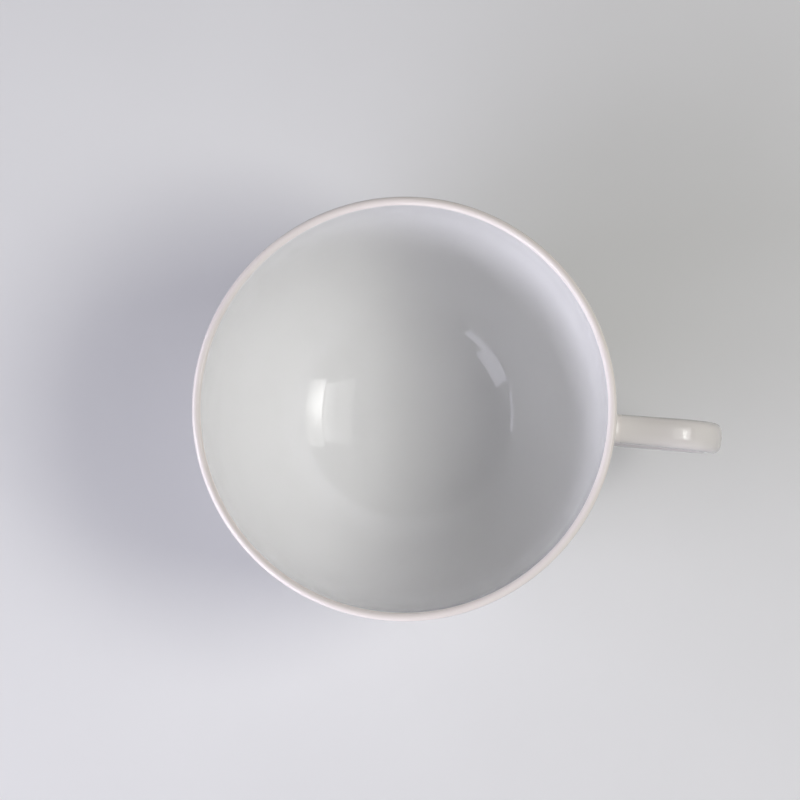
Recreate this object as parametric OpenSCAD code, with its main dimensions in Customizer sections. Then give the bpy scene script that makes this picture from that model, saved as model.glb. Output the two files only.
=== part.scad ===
/* [Bowl] */
// Diameter across the outside of the rim
rim_d = 110; // [86:1:136]
// Height from the table to the top of the rim
height = 72; // [60:1:92]
// Thickness of the wall at its rounded lip
lip_t = 2.3; // [1.6:0.1:4]
// Thickness of the floor at its centre
floor_t = 4.5; // [3:0.1:7]
// Squareness of the inside curve, from 2 for a plain ellipse towards a straight-sided can
inside_fullness = 2.7; // [2.2:0.05:3.6]
// Squareness of the outside curve
outside_fullness = 2.7; // [2.2:0.05:3.6]

/* [Foot ring] */
// Diameter across the outside of the foot, where it meets the bowl
foot_d = 58; // [46:1:72]
// Width of the foot ring, where it meets the bowl
foot_w = 4.2; // [3.4:0.1:6]
// Height of the underside above the table, at the centre
foot_recess = 2.5; // [2:0.1:5]
// Lean of the foot's two walls, in degrees
foot_draft = 4; // [0:0.5:8]
// Radius of the two edges of the bearing face
foot_edge_r = 0.9; // [0.4:0.1:1.1]
// Fillet between the foot and the outside of the bowl
foot_fillet = 3.2; // [1.5:0.1:4.5]
// Fillet between the foot and the underside
recess_fillet = 2.4; // [1:0.1:3]

/* [Handle] */
// Distance that the handle stands out beyond the rim
handle_out = 30.3; // [20:0.1:42]
// Drop from the rim to the top of the handle
handle_drop = 15; // [8:0.5:22]
// Height of the whole loop, over both arms
handle_h = 36; // [30:0.5:44]
// Length of the shoulder, from the end of the straight top arm to the farthest point
shoulder_l = 16; // [11:0.1:17]
// Drop from the top of the handle to its farthest point
shoulder_drop = 17; // [12:0.5:22]
// Squareness of the shoulder, from 2 for a round bend
shoulder_fullness = 2; // [1.9:0.05:3]
// Squareness of the sweep of the lower arm
lower_fullness = 2.05; // [1.8:0.05:3]
// Width of the strap at its farthest point, across the loop
strap_w = 8.25; // [6.5:0.05:12]
// Width of the strap where it comes to the bowl
root_w = 7.1; // [6:0.1:12]
// Thickness of the strap, in the plane of the loop
strap_t = 6.2; // [5:0.1:8]
// Squareness of the strap's section
strap_fullness = 2.9; // [2:0.05:4]

/* [Slip joints] */
// Length of each collar of slip, from the bowl's wall to the handle
collar_l = 2.4; // [1.2:0.1:4]
// Spread of the slip round the handle, where it wets the wall
collar_spread = 1.8; // [0.8:0.1:3]

/* [Hidden] */

glaze_white = [0.93, 0.93, 0.92];
slip_white = [0.90, 0.90, 0.89];

// Facets of a revolved surface, points along a curve of the bowl, along a rounded edge and
// round the strap, and rings along the handle and along a collar
$fn = 240;
curve_steps = 40;
edge_steps = 8;
strap_sides = 28;
handle_rings = 64;
collar_rings = 10;

rim_r = rim_d / 2;
lip_r = lip_t / 2;
inner_r = rim_r - lip_t;
depth = height - foot_recess - floor_t;
outer_depth = height - foot_recess;
foot_r = foot_d / 2;
recess_r = foot_r - foot_w;

// Share of the radius left at share u of the depth, and the reverse, on a squared ellipse
function squared(u, fullness) = pow(max(0, 1 - pow(u, fullness)), 1 / fullness);

// Outside of the bowl: its radius at height z, and its height at radius r
function wall_r(z) = rim_r * squared((height - z) / outer_depth, outside_fullness);
function wall_z(r) = height - outer_depth * squared(r / rim_r, outside_fullness);

// Points of a squared ellipse from the axis, angle 0, to the rim, angle 90
function bowl_curve(r, d, fullness) = [
    for (i = [0 : curve_steps]) let (t = 90 * i / curve_steps)
        [r * pow(sin(t), 2 / fullness), height - d * pow(cos(t), 2 / fullness)]
];

function arc(centre, r, from, to) = [
    for (i = [0 : edge_steps]) let (a = from + (to - from) * i / edge_steps)
        centre + r * [cos(a), sin(a)]
];

// The inside from the centre of the floor up to the lip, the rounded lip, and the outside
// from the lip down to the fillet above the foot
inside_curve = bowl_curve(inner_r, depth, inside_fullness);
inside_line = [for (p = inside_curve) if (p.y < height - lip_r) p];
lip_line = arc([inner_r + lip_r, height - lip_r], lip_r, 180, 0);
outside_curve = bowl_curve(rim_r, outer_depth, outside_fullness);
outside_line = [for (p = outside_curve) if (p.y < height - lip_r && p.x > foot_r + foot_fillet) p];
underside_line = [for (p = outside_curve) if (p.x < recess_r - recess_fillet) p];

// A quarter round that turns the bowl's outside into a wall of the foot at radius r
function foot_corner(r, fillet, side) = [
    for (i = [0 : edge_steps])
        let (a = 90 * i / edge_steps, x = r + side * fillet * (1 - sin(a)))
            [x, wall_z(x) - fillet * (1 - cos(a))]
];
outer_corner = foot_corner(foot_r, foot_fillet, 1);
inner_corner = foot_corner(recess_r, recess_fillet, -1);

// Where a leaning wall of the foot, from point p, turns over its edge onto the bearing face
function edge_centre(p, side) =
    [p.x - side * ((p.y - foot_edge_r) * tan(foot_draft) + foot_edge_r / cos(foot_draft)), foot_edge_r];
outer_edge = arc(edge_centre(outer_corner[edge_steps], 1), foot_edge_r, -foot_draft, -90);
inner_edge = arc(edge_centre(inner_corner[edge_steps], -1), foot_edge_r, -90, -180 + foot_draft);

function reversed(list) = [for (i = [len(list) - 1 : -1 : 0]) list[i]];

// Plane of the handle: an ear whose top arm runs straight out to a shoulder and whose lower arm
// sweeps back to the wall, the shoulder and the sweep each a quarter of its own squared ellipse
handle_top = height - handle_drop;
top_arm_z = handle_top - strap_t / 2;
low_arm_z = handle_top - handle_h + strap_t / 2;
far_x = rim_r + handle_out - strap_t / 2;
far_z = handle_top - shoulder_drop;
bend_x = rim_r + handle_out - shoulder_l;
bend_l = far_x - bend_x;
// The straight arm goes on above 90 degrees, as far to a degree as a round shoulder
arm_step = bend_l * PI / 180;
// Slip is cut to the wall, so a collar starts this far inside it, and the sweep of the lower arm
// starts a little farther in, so that it leaves the wall almost level
collar_root = 2;
sweep_lead = 1;
function collar_start(z) = wall_r(z - strap_t / 2 - collar_spread) - collar_root;
function collar_end(z) = wall_r(z + strap_t / 2) + collar_l;
sweep_x = collar_start(low_arm_z) - sweep_lead;
sweep_l = far_x - sweep_x;

// Point at angle t of a quarter squared ellipse, from a level arm, 90, to the far side, 0
function quarter(start_x, length, arm_z, fullness, t) = [
    start_x + length * pow(cos(t), 2 / fullness),
    far_z + (arm_z - far_z) * pow(abs(sin(t)), 2 / fullness)
];
function quarter_angle(x, start_x, length, fullness) = acos(pow((x - start_x) / length, fullness / 2));

// Middle line of the strap at angle t: the top arm down to 90, the shoulder down to 0 at the far
// side, and the lower arm down to -90; and the angles at which the two arms pass x
function loop_point(t) =
    t > 90 ? [bend_x - (t - 90) * arm_step, top_arm_z]
    : t > 0 ? quarter(bend_x, bend_l, top_arm_z, shoulder_fullness, t)
    : quarter(sweep_x, sweep_l, low_arm_z, lower_fullness, t);
function top_angle(x) =
    x < bend_x ? 90 + (bend_x - x) / arm_step : quarter_angle(x, bend_x, bend_l, shoulder_fullness);
function low_angle(x) = -quarter_angle(x, sweep_x, sweep_l, lower_fullness);
half_step = 0.05;
function loop_direction(t) =
    let (step = loop_point(t - half_step) - loop_point(t + half_step)) step / norm(step);

// Slip that has spread at distance d from the wall
function slip_spread(d) = collar_spread * pow(max(0, 1 - max(0, d) / collar_l), 2);
function squared_sign(v, fullness) = sign(v) * pow(abs(v), 2 / fullness);

// One ring of the strap, square to the middle line; near the wall the slip makes it wider
function strap_ring(t) =
    let (
        middle = loop_point(t),
        along = loop_direction(t),
        out = [-along.y, along.x],
        width = root_w + (strap_w - root_w) * (middle.x - sweep_x) / sweep_l
    )
    [
        for (i = [0 : strap_sides - 1])
            let (
                a = 360 * (i + 0.5) / strap_sides,
                across = width / 2 * squared_sign(cos(a), strap_fullness),
                up = strap_t / 2 * squared_sign(sin(a), strap_fullness),
                bare = middle + up * out,
                gap = norm([bare.x, across]) - wall_r(bare.y),
                grow = 1 + slip_spread(gap) / norm([across, up]),
                place = middle + grow * up * out
            )
            [place.x, grow * across, place.y]
    ];

// A closed skin over rings of the strap at the given angles along the loop
module strap(angles) {
    n = strap_sides;
    last = (len(angles) - 1) * n;
    points = [for (t = angles) each strap_ring(t)];
    sides = [
        for (j = [0 : len(angles) - 2], i = [0 : n - 1])
            let (a = j * n + i, b = j * n + (i + 1) % n)
                each [[a, b, b + n], [a, b + n, a + n]]
    ];
    near_cap = [for (i = [1 : n - 2]) [0, i + 1, i]];
    far_cap = [for (i = [1 : n - 2]) [last, last + i, last + i + 1]];
    polyhedron(points, concat(sides, near_cap, far_cap));
}

function steps(from, to, count) = [for (i = [0 : count]) from + (to - from) * i / count];
top_root = top_angle(collar_start(top_arm_z));
top_end = top_angle(collar_end(top_arm_z));
low_end = low_angle(collar_end(low_arm_z));
low_root = low_angle(collar_start(low_arm_z));

// The bowl as if it were solid, to trim what is fixed to its outside
module bowl_form() {
    rotate_extrude() polygon(concat([[0, height]], reversed(outside_curve)));
}

module bowl() {
    color(glaze_white)
        rotate_extrude()
            polygon(concat(
                inside_line,
                lip_line,
                reversed(outside_line),
                outer_corner,
                outer_edge,
                inner_edge,
                reversed(inner_corner),
                reversed(underside_line)
            ));
}

module handle() {
    color(glaze_white) strap(steps(top_end, low_end, handle_rings));
}

module upper_slip_joint() {
    color(slip_white)
        difference() {
            strap(steps(top_root, top_end, collar_rings));
            bowl_form();
        }
}

module lower_slip_joint() {
    color(slip_white)
        difference() {
            strap(steps(low_end, low_root, collar_rings));
            bowl_form();
        }
}

bowl();
handle();
upper_slip_joint();
lower_slip_joint();
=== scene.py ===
import bpy
import numpy as np
from mathutils import Matrix, Vector


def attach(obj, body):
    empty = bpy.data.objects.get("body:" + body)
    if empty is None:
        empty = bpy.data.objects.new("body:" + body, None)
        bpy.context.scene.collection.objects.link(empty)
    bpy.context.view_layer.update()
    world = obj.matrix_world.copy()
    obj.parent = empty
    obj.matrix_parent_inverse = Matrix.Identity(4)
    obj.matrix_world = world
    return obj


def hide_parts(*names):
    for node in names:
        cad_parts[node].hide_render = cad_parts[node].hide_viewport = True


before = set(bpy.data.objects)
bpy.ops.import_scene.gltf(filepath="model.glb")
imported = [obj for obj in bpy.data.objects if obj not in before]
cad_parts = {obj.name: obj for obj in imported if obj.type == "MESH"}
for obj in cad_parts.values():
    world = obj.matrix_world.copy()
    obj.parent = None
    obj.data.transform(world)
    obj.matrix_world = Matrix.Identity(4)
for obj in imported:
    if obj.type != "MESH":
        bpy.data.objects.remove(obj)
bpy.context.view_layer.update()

# Bowl: one piece of porcelain, pressed on a turning mould so that it is a true solid of
# revolution, with its foot ring turned in the same clay. It is dipped in clear glaze and stands
# in the kiln on the foot, whose bearing face is wiped bare.
MM = 0.001
rim_r = 55.0
height = 72.0
lip_t = 2.3
floor_t = 4.5
inside_fullness = 2.7
outside_fullness = 2.7
foot_r = 29.0
foot_w = 4.2
foot_recess = 2.5
foot_draft = np.radians(4.0)
foot_edge_r = 0.9
foot_fillet = 3.2
recess_fillet = 2.4

lip_r = lip_t / 2
inner_r = rim_r - lip_t
outer_depth = height - foot_recess
inside_depth = outer_depth - floor_t
recess_r = foot_r - foot_w

# Points along a curve of the bowl, over the lip, round each bend of the foot and across its walls
# and bearing face, and round the axis
curve_points = 90
lip_points = 25
foot_points = 12
foot_wall_points = 6
bearing_points = 8
around_bowl = 256


def squared(share, fullness):
    """Other side of a squared ellipse: the n-th root of one less the share to the power n."""
    return np.maximum(0.0, 1.0 - np.abs(share) ** fullness) ** (1.0 / fullness)


def wall_r(z):
    """Outside radius of the bowl at height z: a squared ellipse as deep as the bowl, mouth up."""
    return rim_r * squared((height - z) / outer_depth, outside_fullness)


def wall_z(r):
    """Height of the bowl's outside at radius r: the same squared ellipse, read the other way."""
    return height - outer_depth * squared(r / rim_r, outside_fullness)


def round_edge(centre, r, start, end, count):
    """Points on a circle of radius r about centre, turning evenly from one angle to another."""
    a = np.radians(np.linspace(start, end, count))
    return np.stack([centre[0] + r * np.cos(a), centre[1] + r * np.sin(a)], 1)


def foot_wall(r, fillet, side):
    """One wall of the foot, side 1 outside and -1 inside: a quarter round that leaves the bowl's
    outside, then a leaning line to a small round that ends on the table."""
    a = np.radians(np.linspace(0.0, 90.0, foot_points))
    x = r + side * fillet * (1.0 - np.sin(a))
    corner = np.stack([x, wall_z(x) - fillet * (1.0 - np.cos(a))], 1)
    drop = corner[-1, 1] - foot_edge_r
    inset = drop * np.tan(foot_draft) + foot_edge_r / np.cos(foot_draft)
    centre = (r - side * inset, foot_edge_r)
    lean = np.degrees(foot_draft)
    start = -lean if side > 0 else -180.0 + lean
    edge = round_edge(centre, foot_edge_r, start, -90.0, foot_points)
    share = np.linspace(0.0, 1.0, foot_wall_points)[1:-1, None]
    wall = corner[-1] + (edge[0] - corner[-1]) * share
    return np.concatenate([corner, wall, edge])


def bowl_profile():
    """Half section from the middle of the floor up the inside, over the half circle of the lip,
    down the outside, round the foot and back to the axis underneath. The squared ellipses stop a
    little short of the rounds, so that no two points fall together."""
    lip_gap, foot_gap = 0.1, 0.3
    t = np.radians(90.0 * np.linspace(0.0, 1.0, curve_points))
    inside = np.stack([inner_r * np.sin(t) ** (2 / inside_fullness),
                       height - inside_depth * np.cos(t) ** (2 / inside_fullness)], 1)
    outside = np.stack([rim_r * np.sin(t) ** (2 / outside_fullness),
                        height - outer_depth * np.cos(t) ** (2 / outside_fullness)], 1)
    below_lip = height - lip_r - lip_gap
    past_foot = foot_r + foot_fillet + foot_gap
    lip = round_edge((inner_r + lip_r, height - lip_r), lip_r, 180.0, 0.0, lip_points)
    wall = outside[(outside[:, 1] < below_lip) & (outside[:, 0] > past_foot)]
    under = outside[outside[:, 0] < recess_r - recess_fillet - foot_gap]
    outer_foot = foot_wall(foot_r, foot_fillet, 1)
    inner_foot = foot_wall(recess_r, recess_fillet, -1)
    share = np.linspace(0.0, 1.0, bearing_points)[1:-1, None]
    face = outer_foot[-1] + (inner_foot[-1] - outer_foot[-1]) * share
    return np.concatenate([inside[inside[:, 1] < below_lip], lip, wall[::-1],
                           outer_foot, face, inner_foot[::-1], under[::-1]])


def close_rings(rings, around, closed=True):
    """Faces over a grid of rings times points around, joined to themselves round the seam. A fan
    joins ring 0 to the vertex after the grid and, if closed, the final ring to the next one."""
    j, i = np.meshgrid(np.arange(rings - 1), np.arange(around), indexing="ij")
    a, b = j * around + i, j * around + (i + 1) % around
    quads = np.stack([a, b, b + around, a + around], -1).reshape(-1, 4)
    turn = np.arange(around)
    ahead = (turn + 1) % around
    first, end = rings * around, (rings - 1) * around
    faces = quads.tolist() + np.stack([np.full(around, first), ahead, turn], 1).tolist()
    if closed:
        faces += np.stack([np.full(around, first + 1), end + turn, end + ahead], 1).tolist()
    return faces


def make_piece(name, points, faces):
    """A smooth mesh object at the origin from points in millimetres, sharp only where two faces
    turn by more than the crease."""
    crease = np.radians(50.0)
    mesh = bpy.data.meshes.new(name)
    mesh.from_pydata((points * MM).tolist(), [], faces)
    mesh.shade_smooth()
    mesh.set_sharp_from_angle(angle=crease)
    piece = bpy.data.objects.new(name, mesh)
    bpy.context.scene.collection.objects.link(piece)
    return piece


def turned(profile, around):
    """Every profile point carried clockwise round the axis: (r cos a, r sin a, z) on a grid of
    heights and angles, with the two end points of the profile as poles on the axis."""
    a = np.linspace(2.0 * np.pi, 0.0, around, endpoint=False)
    r, z = profile[1:-1, :1], profile[1:-1, 1:]
    grid = np.stack([r * np.cos(a), r * np.sin(a), z + 0.0 * a], -1).reshape(-1, 3)
    poles = np.array([[0.0, 0.0, profile[0, 1]], [0.0, 0.0, profile[-1, 1]]])
    return np.concatenate([grid, poles])


profile = bowl_profile()
bowl = make_piece("porcelain_bowl", turned(profile, around_bowl),
                  close_rings(len(profile) - 2, around_bowl))


def linear(hex_colour):
    """sRGB hex to linear red, green, blue and alpha."""
    s = np.array([int(hex_colour[k:k + 2], 16) for k in (1, 3, 5)]) / 255.0
    rgb = np.where(s <= 0.04045, s / 12.92, ((s + 0.055) / 1.055) ** 2.4)
    return (*rgb.tolist(), 1.0)


def add_node(material, kind, settings=None, **links):
    """Adds one node to a material or a lamp. Settings are its properties and links its inputs, each
    a value or a socket; an input's name has underscores for spaces, or is in_ and its number."""
    tree = material.node_tree
    made = tree.nodes.new(kind)
    for key, value in (settings or {}).items():
        setattr(made, key, value)
    for key, value in links.items():
        plug = made.inputs[int(key[3:]) if key.startswith("in_") else key.replace("_", " ")]
        if isinstance(value, bpy.types.NodeSocket):
            tree.links.new(value, plug)
        else:
            plug.default_value = value
    return made


def new_material(name):
    """A material with an empty node tree."""
    material = bpy.data.materials.new(name)
    material.use_nodes = True
    material.node_tree.nodes.clear()
    return material


def glazed(material, place, colour, roughness, relief=None):
    """Clear glaze over a coloured body: a matte colour whose tone drifts by about a hundredth over
    22 mm, below a mirror coat that the flow of the glaze has left wavy over 9 mm. A pattern's scale
    is one over its size in metres."""
    tone_size, flow_size = 22.0 * MM, 9.0 * MM
    wave_height, relief_height = 0.06 * MM, 0.08 * MM
    tone = add_node(material, "ShaderNodeTexNoise", Vector=place, Scale=1 / tone_size, Detail=2.0)
    shift = add_node(material, "ShaderNodeMapRange", Value=tone.outputs["Fac"],
                     From_Min=0.3, From_Max=0.7, To_Min=0.985, To_Max=1.0)
    body = add_node(material, "ShaderNodeMix", {"data_type": "RGBA", "blend_type": "MULTIPLY"},
                    in_0=1.0, in_6=colour, in_7=shift.outputs[0])
    flow = add_node(material, "ShaderNodeTexNoise", Vector=place, Scale=1 / flow_size, Detail=1.0)
    surface = add_node(material, "ShaderNodeBump", Height=flow.outputs["Fac"], Strength=0.25,
                       Distance=wave_height)
    if relief:
        surface = add_node(material, "ShaderNodeBump", Height=relief, Strength=0.6,
                           Distance=relief_height, Normal=surface.outputs[0])
    shader = add_node(material, "ShaderNodeBsdfPrincipled", Base_Color=body.outputs[2],
                      Roughness=roughness, IOR=1.5, Normal=surface.outputs[0])
    add_node(material, "ShaderNodeOutputMaterial", Surface=shader.outputs[0])


# Glazed porcelain: a bright white body under clear glaze, fired glossy. To the eye it is a matte
# white with a sharp mirror layer over it, cream at the lip, where the glaze runs thin over the
# clay, and dull and grainy on the bare foot. The lip's cream is partly painted light: it is set a
# shade lighter than the tint alone, standing in for light that falls on the top of the lip.
bowl_white = linear("#F2F2F1")
# Lip colour: the thin glaze's cream tint, painted a shade lighter as painted light on the lip's top
lip_cream_painted_light = linear("#F6EEE8")
bare_clay = linear("#DDD6CB")
lip_tint_and_light_from, lip_tint_and_light_to = 70.7 * MM, 71.5 * MM
bare_from, bare_to = 0.75 * MM, 0.35 * MM
glaze_roughness, clay_roughness = 0.035, 0.8
grit_size = 0.6 * MM
porcelain = new_material("glazed_porcelain")
place = add_node(porcelain, "ShaderNodeTexCoord").outputs["Object"]
axis = add_node(porcelain, "ShaderNodeSeparateXYZ", Vector=place)
# Mask near the rim where the lip's cream tint and its painted light fade in
lip_tint_and_light = add_node(porcelain, "ShaderNodeMapRange", {"interpolation_type": "SMOOTHSTEP"},
                    Value=axis.outputs["Z"], From_Min=lip_tint_and_light_from, From_Max=lip_tint_and_light_to)
near_table = add_node(porcelain, "ShaderNodeMapRange", {"interpolation_type": "SMOOTHSTEP"},
                      Value=axis.outputs["Z"], From_Min=bare_from, From_Max=bare_to)
white = add_node(porcelain, "ShaderNodeMix", {"data_type": "RGBA"},
                 in_0=lip_tint_and_light.outputs[0], in_6=bowl_white, in_7=lip_cream_painted_light)
clay = add_node(porcelain, "ShaderNodeMix", {"data_type": "RGBA"},
                in_0=near_table.outputs[0], in_6=white.outputs[2], in_7=bare_clay)
gloss = add_node(porcelain, "ShaderNodeMapRange", Value=near_table.outputs[0],
                 To_Min=glaze_roughness, To_Max=clay_roughness)
grit = add_node(porcelain, "ShaderNodeTexNoise", Vector=place, Scale=1 / grit_size, Detail=1.0)
bare_grit = add_node(porcelain, "ShaderNodeMath", {"operation": "MULTIPLY"},
                     in_0=grit.outputs["Fac"], in_1=near_table.outputs[0])
glazed(porcelain, place, clay.outputs[2], gloss.outputs[0], bare_grit.outputs[0])
bowl.data.materials.append(porcelain)
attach(bowl, "root")
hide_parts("bowl")

# Handle: a strap of the same clay, cast by itself, bent into an ear and stuck on while leather
# hard. Its top arm runs out to a round shoulder, and its lower arm sweeps back to the wall.
handle_out = 30.3
handle_drop = 15.0
handle_h = 36.0
shoulder_l = 16.0
shoulder_drop = 17.0
shoulder_fullness = 2.0
lower_fullness = 2.05
strap_w = 8.25
root_w = 7.1
strap_t = 6.2
strap_fullness = 2.9
# Each collar of slip is this long and spreads this far round the strap. The sweep of the lower arm
# starts farther in than the wall, by the depth of a collar's root and a little more.
collar_l = 2.4
collar_spread = 1.8
collar_root = 2.0
sweep_lead = 1.0
around_strap = 72
handle_rings = 150

handle_top = height - handle_drop
top_arm_z = handle_top - strap_t / 2
low_arm_z = handle_top - handle_h + strap_t / 2
far_x = rim_r + handle_out - strap_t / 2
far_z = handle_top - shoulder_drop
bend_x = rim_r + handle_out - shoulder_l
bend_l = far_x - bend_x
sweep_x = wall_r(low_arm_z - strap_t / 2 - collar_spread) - collar_root - sweep_lead
sweep_l = far_x - sweep_x


def loop_point(t):
    """Middle line of the strap at angle t, in x and z: a straight arm above 90 degrees, a quarter
    squared ellipse round the shoulder to 0 at the far side, and another back to the wall."""
    fullness = np.where(t > 0, shoulder_fullness, lower_fullness)
    start_x = np.where(t > 0, bend_x, sweep_x)
    arm_z = np.where(t > 0, top_arm_z, low_arm_z)
    turn = np.minimum(t, np.pi / 2)
    x = start_x + (far_x - start_x) * np.maximum(0.0, np.cos(turn)) ** (2 / fullness)
    z = far_z + (arm_z - far_z) * np.abs(np.sin(turn)) ** (2 / fullness)
    return np.stack([x - bend_l * (t - turn), z], -1)


section_turn = 2.0 * np.pi * (np.arange(around_strap) + 0.5) / around_strap


def squared_sign(v, fullness):
    """Cosine or sine pushed outwards onto a squared ellipse, keeping its sign."""
    return np.sign(v) * np.abs(v) ** (2 / fullness)


def strap_ring(t):
    """Squared-ellipse sections of the strap, square to the middle line at each angle t."""
    step = 1e-4
    middle = loop_point(t)
    along = loop_point(t - step) - loop_point(t + step)
    along = along / np.linalg.norm(along, axis=-1, keepdims=True)
    width = root_w + (strap_w - root_w) * (middle[:, :1] - sweep_x) / sweep_l
    across = width / 2 * squared_sign(np.cos(section_turn), strap_fullness)
    up = strap_t / 2 * squared_sign(np.sin(section_turn), strap_fullness) + 0.0 * across
    x = middle[:, :1] - up * along[:, 1:]
    z = middle[:, 1:] + up * along[:, :1]
    return np.stack([x, across, z], -1)


def even_angles(start, end, count):
    """Angles that cut the middle line into equal lengths, read off its length summed over many
    short steps."""
    t = np.linspace(start, end, 4000)
    run = np.linalg.norm(np.diff(loop_point(t), axis=0), axis=1)
    length = np.concatenate([[0.0], np.cumsum(run)])
    return np.interp(np.linspace(0.0, length[-1], count), length, t)


top_x = wall_r(top_arm_z + strap_t / 2) + collar_l
low_x = wall_r(low_arm_z + strap_t / 2) + collar_l
top_end = np.pi / 2 + (bend_x - top_x) / bend_l
low_end = -np.arccos(((low_x - sweep_x) / sweep_l) ** (lower_fullness / 2))
rings = strap_ring(even_angles(top_end, low_end, handle_rings))
ends = rings[[0, -1]].mean(axis=1)
handle = make_piece("porcelain_handle", np.concatenate([rings.reshape(-1, 3), ends]),
                    close_rings(handle_rings, around_strap))

# Thinly glazed porcelain: the same glaze drains off a narrow strap, so the clay shows through it a
# little warmer and duller than in the bowl.
strap_cream = linear("#F0EAE5")
strap_pale = linear("#EFEBE7")
drift_size = 14.0 * MM
strap_roughness = 0.06
thin_glaze = new_material("thinly_glazed_porcelain")
place = add_node(thin_glaze, "ShaderNodeTexCoord").outputs["Object"]
drift = add_node(thin_glaze, "ShaderNodeTexNoise", Vector=place, Scale=1 / drift_size, Detail=1.0)
strap_tone = add_node(thin_glaze, "ShaderNodeMix", {"data_type": "RGBA"},
                      in_0=drift.outputs["Fac"], in_6=strap_cream, in_7=strap_pale)
glazed(thin_glaze, place, strap_tone.outputs[2], strap_roughness)
handle.data.materials.append(thin_glaze)
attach(handle, "root")
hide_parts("handle")

# Slip joints: collars of liquid clay that were brushed on to stick the handle to the wall. Each
# has been wiped to a hollow fillet, and the glaze runs over it without a seam.
collar_seat = 0.6
collar_rings = 24


def slip_collar(t_end, side):
    """From the handle's end ring straight back to the wall, spreading on a quarter ellipse whose
    gap to the wall shrinks from the collar's length to nothing. The gap at each point is met by
    stepping along the strap, and the last ring is carried a little way into the wall."""
    step = 1e-4
    ring = strap_ring(np.array([t_end]))[0]
    middle = ring.mean(axis=0)
    tangent = loop_point(t_end + side * step) - loop_point(t_end - side * step)
    tangent = tangent / np.linalg.norm(tangent)
    back = np.array([tangent[0], 0.0, tangent[1]])
    out = np.roll(ring, -1, axis=0) - np.roll(ring, 1, axis=0)
    out = np.cross(back, out) * side
    out = out / np.linalg.norm(out, axis=1, keepdims=True)
    a = np.radians(np.linspace(3.0, 90.0, collar_rings))[:, None]
    gap = collar_l * (1.0 - np.sin(a))
    spread = collar_spread * (1.0 - np.cos(a))
    wide = ring[None] + spread[..., None] * out[None]
    run = np.zeros(wide.shape[:2])
    for _ in range(8):
        spot = wide + run[..., None] * back
        over = np.hypot(spot[..., 0], spot[..., 1]) - wall_r(spot[..., 2]) - gap
        run = run + over / -back[0]
    spot = wide + run[..., None] * back
    inside = spot[-1] + collar_seat * back
    rows = np.concatenate([ring[None], spot, inside[None]])
    caps = np.stack([middle, inside.mean(axis=0)])
    return (rows[::-1], caps[::-1]) if side > 0 else (rows, caps)


# Glazed slip: wiped slip is coarser than cast clay and soaks the glaze up, so that the collars
# have a softer gloss than the strap.
slip_cream = linear("#EEE8E3")
slip_roughness = 0.28
slip = new_material("glazed_slip")
place = add_node(slip, "ShaderNodeTexCoord").outputs["Object"]
glazed(slip, place, slip_cream, slip_roughness)

for name, node_name, t_end, side in (("upper_slip_collar", "upper_slip_joint", top_end, 1),
                                     ("lower_slip_collar", "lower_slip_joint", low_end, -1)):
    rows, ends = slip_collar(t_end, side)
    collar = make_piece(name, np.concatenate([rows.reshape(-1, 3), ends]),
                        close_rings(len(rows), around_strap))
    collar.data.materials.append(slip)
    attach(collar, "root")
    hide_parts(node_name)

# Studio: a plain pale floor that rises into a cove all round, so that every side has the same
# quiet background. It is matte paint on board, and fades into an even, unshaded pale backdrop.
near_r = 600.0
level_r = 1500.0
cove_r = 500.0
backdrop_h = 1000.0
around_floor = 96
cove_points = 24
level = np.array([[near_r, 0.0], [level_r, 0.0]])
cove = round_edge((level_r, cove_r), cove_r, -90.0, 0.0, cove_points)[1:]
studio_profile = np.concatenate([level, cove, [[level_r + cove_r, backdrop_h]]])
a = np.linspace(0.0, 2.0 * np.pi, around_floor, endpoint=False)
r, z = studio_profile[:, :1], studio_profile[:, 1:]
sweep = np.stack([r * np.cos(a), r * np.sin(a), z + 0.0 * a], -1).reshape(-1, 3)
sweep = np.concatenate([sweep, [[0.0, 0.0, 0.0]]])
floor_faces = close_rings(len(studio_profile), around_floor, closed=False)
floor = make_piece("pale_floor", sweep, [f[::-1] for f in floor_faces])

# Matte floor paint: a pale grey with a faint mottle. The eye and the glaze see it pale, while the
# light that it throws back on the cup is kept low.
paint_dark = linear("#E6E6E4")
paint_light = linear("#EAEAE8")
paint_bounce = linear("#7A7A79")
backdrop_grey = linear("#DADAD9")
mottle_size = 50.0 * MM
fade_from, fade_to = 180.0 * MM, 500.0 * MM
paint = new_material("matte_floor_paint")
spot = add_node(paint, "ShaderNodeTexCoord").outputs["Object"]
mottle = add_node(paint, "ShaderNodeTexNoise", Vector=spot, Scale=1 / mottle_size, Detail=3.0)
floor_colour = add_node(paint, "ShaderNodeMix", {"data_type": "RGBA"},
                        in_0=mottle.outputs["Fac"], in_6=paint_dark, in_7=paint_light)
rays = add_node(paint, "ShaderNodeLightPath")
direct = add_node(paint, "ShaderNodeMath", {"operation": "MAXIMUM"},
                  in_0=rays.outputs["Is Camera Ray"], in_1=rays.outputs["Is Glossy Ray"])
seen = add_node(paint, "ShaderNodeMath", {"operation": "MAXIMUM"},
                in_0=direct.outputs[0], in_1=rays.outputs["Is Transmission Ray"])
bounce = add_node(paint, "ShaderNodeMix", {"data_type": "RGBA"},
                  in_0=seen.outputs[0], in_6=paint_bounce, in_7=floor_colour.outputs[2])
matte = add_node(paint, "ShaderNodeBsdfPrincipled", Base_Color=bounce.outputs[2], Roughness=0.75)
away = add_node(paint, "ShaderNodeVectorMath", {"operation": "LENGTH"}, in_0=spot)
far = add_node(paint, "ShaderNodeMapRange", {"interpolation_type": "SMOOTHSTEP"},
               Value=away.outputs["Value"], From_Min=fade_from, From_Max=fade_to)
unshaded = add_node(paint, "ShaderNodeMath", {"operation": "MULTIPLY"},
                    in_0=far.outputs[0], in_1=seen.outputs[0])
backdrop = add_node(paint, "ShaderNodeEmission", Color=backdrop_grey, Strength=1.0)
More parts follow.
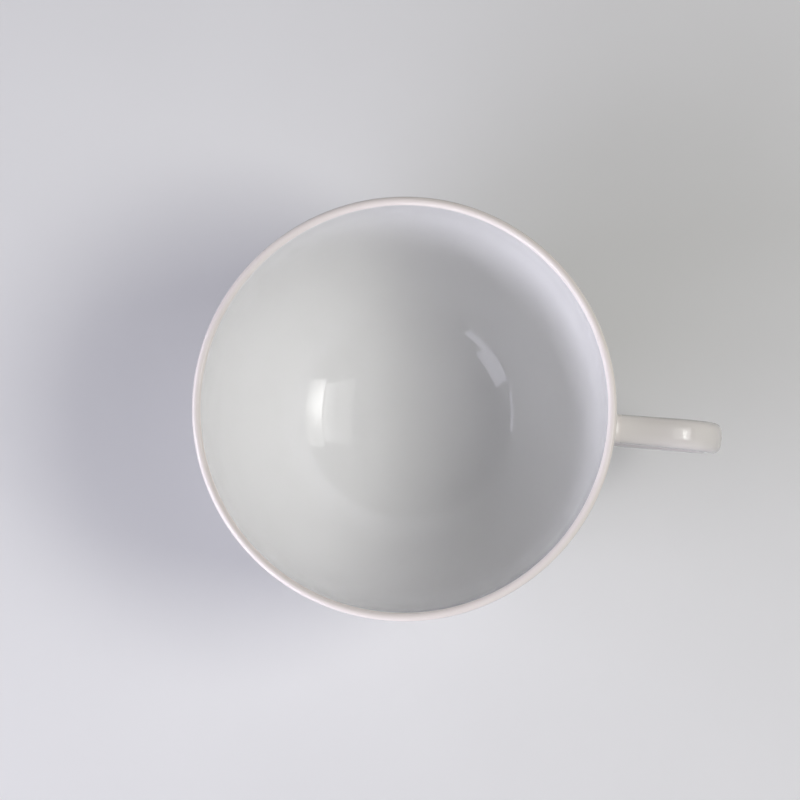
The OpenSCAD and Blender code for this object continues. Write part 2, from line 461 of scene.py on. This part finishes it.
board = add_node(paint, "ShaderNodeMixShader", in_0=unshaded.outputs[0],
                 in_1=matte.outputs[0], in_2=backdrop.outputs[0])
add_node(paint, "ShaderNodeOutputMaterial", Surface=board.outputs[0])
floor.data.materials.append(paint)

# Camera: almost straight above, a little towards the handle and towards the lower edge of the
# picture. The handle points to the right of the picture, turned a few degrees downwards.
handle_turn = np.radians(4.88)
camera_right, camera_near, camera_up = 22.5, 25.1, 550.0
aim_left, aim_far = 0.89, 2.05
image_right = np.array([np.cos(handle_turn), np.sin(handle_turn), 0.0])
image_up = np.array([-np.sin(handle_turn), np.cos(handle_turn), 0.0])
upright = np.array([0.0, 0.0, 1.0])
mouth = np.array([0.0, 0.0, height])
stand = mouth + camera_right * image_right - camera_near * image_up + camera_up * upright
target = mouth - aim_left * image_right + aim_far * image_up


def aimed(place_at, look_at, top):
    """World matrix of a camera or lamp at one point that looks at another, with its top side
    turned towards the given direction; points in millimetres."""
    back = (place_at - look_at) / np.linalg.norm(place_at - look_at)
    side = np.cross(top, back)
    side = side / np.linalg.norm(side)
    turn = np.stack([side, np.cross(back, side), back], 1)
    return Matrix.Translation(Vector(place_at * MM)) @ Matrix(turn.tolist()).to_4x4()


camera_data = bpy.data.cameras.new("camera")
camera_data.lens = 96.1
camera_data.sensor_width = 36.0
camera_data.clip_start = 0.01
camera = bpy.data.objects.new("camera", camera_data)
bpy.context.scene.collection.objects.link(camera)
camera.matrix_world = aimed(stand, target, image_up)
bpy.context.scene.camera = camera

# Lamps: soft boxes placed by the angle round the picture and the heights above the table between
# which the glaze shows them. Their cloth is brightest at one place and dimmer towards its edges.
def shade_cloth(data, across, up, reach_across, reach_up, edge):
    """Emission that falls smoothly from 1 at one place on the cloth to the share edge at an ellipse
    round it, all measured in the cloth's own width and height."""
    data.use_nodes = True
    cloth = add_node(data, "ShaderNodeNewGeometry").outputs["Parametric"]
    offset = add_node(data, "ShaderNodeVectorMath", {"operation": "SUBTRACT"},
                      in_0=cloth, in_1=(across, up, 0.0))
    share = add_node(data, "ShaderNodeVectorMath", {"operation": "DIVIDE"},
                     in_0=offset.outputs[0], in_1=(reach_across, reach_up, 1.0))
    away = add_node(data, "ShaderNodeVectorMath", {"operation": "LENGTH"}, in_0=share.outputs[0])
    fall = add_node(data, "ShaderNodeMapRange", {"interpolation_type": "SMOOTHSTEP"},
                    Value=away.outputs["Value"], To_Min=1.0, To_Max=edge)
    data.node_tree.links.new(fall.outputs[0], data.node_tree.nodes["Emission"].inputs["Strength"])


def panel(name, azimuth, low, high, half_width, radiance, colour, bright=None):
    """A rectangular lamp a metre from the middle of the cup and facing it, between two angles of
    height and as wide as the angle to each side, in degrees. Its power is pi times radiance times
    area, and bright shades its cloth."""
    distance = 1000.0
    az, el = np.radians(azimuth), np.radians((low + high) / 2)
    outwards = np.cos(az) * image_right + np.sin(az) * image_up
    middle = np.array([0.0, 0.0, 40.0])
    lamp_at = middle + distance * (np.cos(el) * outwards + np.sin(el) * upright)
    data = bpy.data.lights.new(name, "AREA")
    data.shape = "RECTANGLE"
    data.size = 2.0 * distance * MM * np.cos(el) * np.tan(np.radians(half_width))
    data.size_y = 2.0 * distance * MM * np.tan(np.radians((high - low) / 2))
    data.energy = np.pi * radiance * data.size * data.size_y
    data.color = colour
    if bright:
        shade_cloth(data, **bright)
    lamp = bpy.data.objects.new(name, data)
    bpy.context.scene.collection.objects.link(lamp)
    lamp.matrix_world = aimed(lamp_at, middle, upright)
    lamp.visible_camera = False
    return lamp


daylight = (1.0, 0.995, 0.975)
cool_light = (0.88, 0.87, 1.0)

# Warm soft boxes over the handle, one above the other, which the glaze shows on the cup's floor
panel("soft_box", 0.0, 33.5, 50.5, 20.0, 9.2, daylight,
      dict(across=0.36, up=0.9, reach_across=0.5, reach_up=0.95, edge=0.25))
panel("soft_box_upper", 0.0, 51.0, 71.5, 25.0, 3.1, daylight,
      dict(across=0.45, up=0.0, reach_across=2.0, reach_up=0.55, edge=0.42))
# A fill that lights the clay below the glaze and that the glaze doesn't show
fill = panel("soft_fill", 0.0, 45.0, 62.0, 20.0, 6.5, daylight)
fill.visible_glossy = False
# Cool panels across from the handle, which light the wall on the handle's side from the rim down
panel("cool_panel_low", 215.0, 16.0, 27.0, 32.0, 10.3, cool_light)
panel("cool_panel_floor", 215.0, 4.0, 16.0, 32.0, 1.5, cool_light)
panel("cool_panel_left", 170.0, 6.0, 27.0, 13.0, 3.9, cool_light)
panel("cool_panel_near", 258.0, 8.0, 27.0, 11.0, 2.6, cool_light)
# Small ones above the rim, which the glaze shows as a strip with a narrow tip and as an arc
panel("cool_panel_high", 208.0, 33.0, 49.0, 11.0, 2.9, cool_light)
panel("cool_panel_tip", 226.0, 33.0, 42.0, 7.0, 2.5, cool_light)
panel("cool_panel_arc", 180.0, 34.5, 38.5, 11.0, 2.8, cool_light)
# A dim one behind the cup, which lifts the wall across from it
panel("cool_panel_far", 88.0, 10.0, 30.0, 22.0, 0.5, cool_light)

dim_air = (0.015, 0.015, 0.016, 1.0)
world = bpy.data.worlds.new("studio_air")
bpy.context.scene.world = world
world.use_nodes = True
air = world.node_tree.nodes["Background"]
air.inputs["Color"].default_value = dim_air
air.inputs["Strength"].default_value = 1.0
bpy.context.scene.view_settings.view_transform = "Standard"
